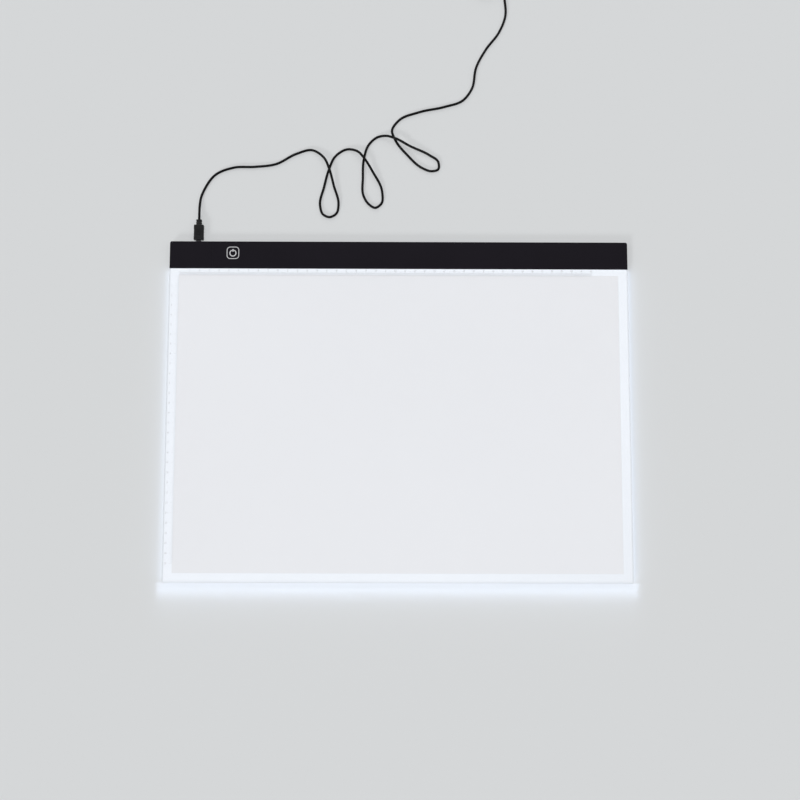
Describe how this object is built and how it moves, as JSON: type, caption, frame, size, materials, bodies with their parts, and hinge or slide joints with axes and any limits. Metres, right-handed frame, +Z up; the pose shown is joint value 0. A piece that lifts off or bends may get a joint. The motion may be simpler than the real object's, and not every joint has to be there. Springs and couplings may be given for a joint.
{
  "type": "led tracing pad",
  "caption": "Thin edge-lit tracing pad: clear panel over a frosted sheet, black control bar with a touch power key, and a plug-in power lead that pulls out of the bar's back.",
  "frame": {"origin": "on the table, under the middle of the pad", "axes": "+X to the right along the control bar, +Y to the back where the bar and the plug are, +Z up"},
  "size_m": [0.468, 0.655, 0.0086],
  "materials": {
    "white_plastic": "fine matte",
    "foot_rubber": "matte",
    "white_film": "satin white film",
    "clear_acrylic": "clear, polished",
    "frosted_film": "frosted, lit from the edge",
    "clear_tape": "clear adhesive",
    "black_abs": "smooth satin black",
    "print_grey": "printed light grey",
    "black_foam": "open foam",
    "white_laminate": "white solder mask",
    "emitter_resin": "yellow resin in a white case",
    "amber_tape": "thin tape",
    "green_laminate": "green solder mask",
    "plated_steel": "nickel plate",
    "black_nylon": "moulded",
    "gold_plate": "gold flash",
    "conductive_foam": "grey foam",
    "chip_epoxy": "moulded epoxy",
    "resistor_body": "glazed top, tinned ends",
    "capacitor_body": "fired, tinned ends",
    "red_pvc": "wire sleeve",
    "black_pvc": "wire sleeve",
    "screw_steel": "zinc plate",
    "grip_pvc": "satin moulding",
    "cord_pvc": "satin black sheath",
    "tie_plastic": "ribbon over wire",
    "white_nylon": "moulded"
  },
  "bodies": {
    "pad": {"back_plate": "white_plastic", "rubber_feet": "foot_rubber", "reflector_sheet": "white_film", "light_guide": "clear_acrylic", "cover_plate": "clear_acrylic", "diffuser_sheet": "frosted_film", "cover_tape": "clear_tape", "bar_cover": "black_abs", "bar_end": "black_abs", "power_mark": "print_grey", "light_seal": "black_foam", "led_board": "white_laminate", "led_chips": "emitter_resin", "led_tape": "amber_tape", "control_board": "green_laminate", "usb_socket_shell": "plated_steel", "usb_socket_tongue": "black_nylon", "usb_socket_contacts": "gold_plate", "touch_foam": "conductive_foam", "touch_chip": "chip_epoxy", "dimmer_transistor": "chip_epoxy", "board_resistors": "resistor_body", "board_capacitors": "capacitor_body", "feed_wire_red": "red_pvc", "feed_wire_black": "black_pvc", "bar_screws": "screw_steel", "board_screws": "screw_steel"},
    "lead": {"plug_shell": "plated_steel", "plug_insert": "black_nylon", "plug_contacts": "gold_plate", "plug_grip": "grip_pvc", "cord_run": "cord_pvc", "cord_coil": "cord_pvc", "coil_tie": "tie_plastic", "charger_grip": "grip_pvc", "charger_shell": "plated_steel", "charger_tongue": "white_nylon", "charger_contact_set": "gold_plate"}
  },
  "joints": [
    {"name": "plug_pull", "type": "slide", "parent": "pad", "child": "lead", "axis": [0, 1, 0], "range_m": [0, 0.012]}
  ]
}
